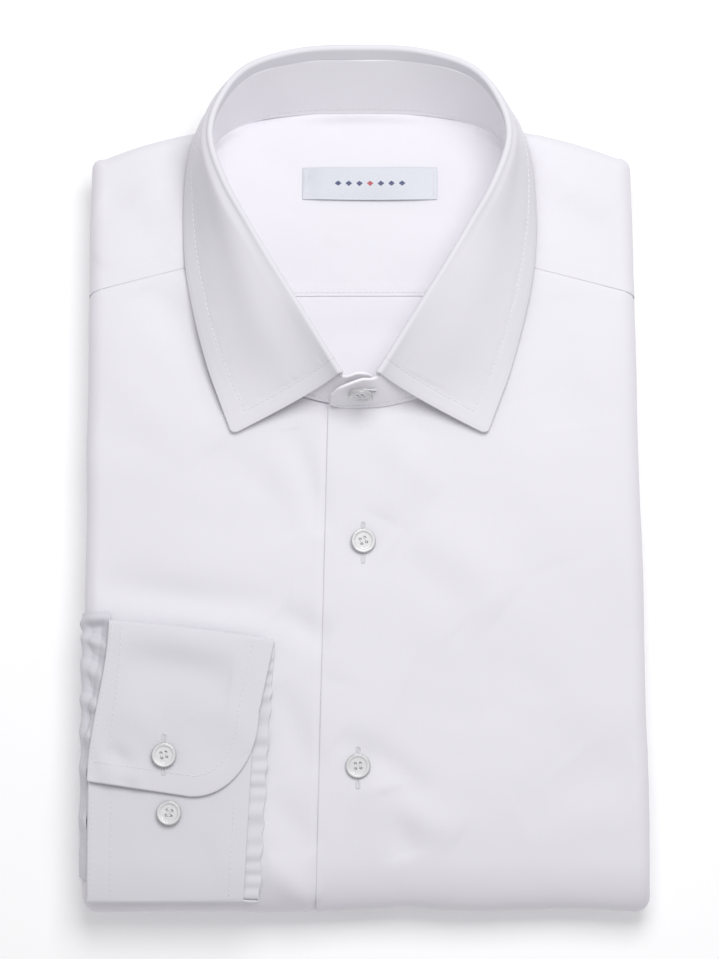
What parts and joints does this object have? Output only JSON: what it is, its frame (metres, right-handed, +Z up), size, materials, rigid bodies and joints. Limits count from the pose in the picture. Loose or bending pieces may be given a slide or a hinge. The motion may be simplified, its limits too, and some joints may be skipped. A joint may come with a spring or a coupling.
{
  "type": "folded dress shirt",
  "caption": "Long-sleeved white dress shirt folded for the shelf: buttoned spread collar, plain button front, one barrel cuff laid on the front.",
  "frame": {"origin": "under the middle of the folded shirt, on the surface it lies on", "axes": "+Y towards the collar, +Z up out of the front, +X towards the wearer's left side"},
  "size_m": [0.2496, 0.382, 0.0636],
  "materials": {
    "shirting": "fine smooth cotton weave with a faint sheen",
    "label": "woven satin ribbon",
    "button": "polished pearly resin"
  },
  "bodies": {
    "root": {"front_right": "shirting", "front_left": "shirting", "yoke": "shirting", "yoke_inner": "shirting", "back": "shirting", "folded_layers": "shirting", "collar_stand": "shirting", "collar_leaf": "shirting", "cuff_right": "shirting", "sleeve_right": "shirting", "neck_label": "label", "button_front_1": "button", "button_front_2": "button", "button_front_3": "button", "button_front_4": "button", "button_front_5": "button", "button_cuff_1": "button", "button_cuff_2": "button", "button_collar": "button"}
  },
  "joints": []
}
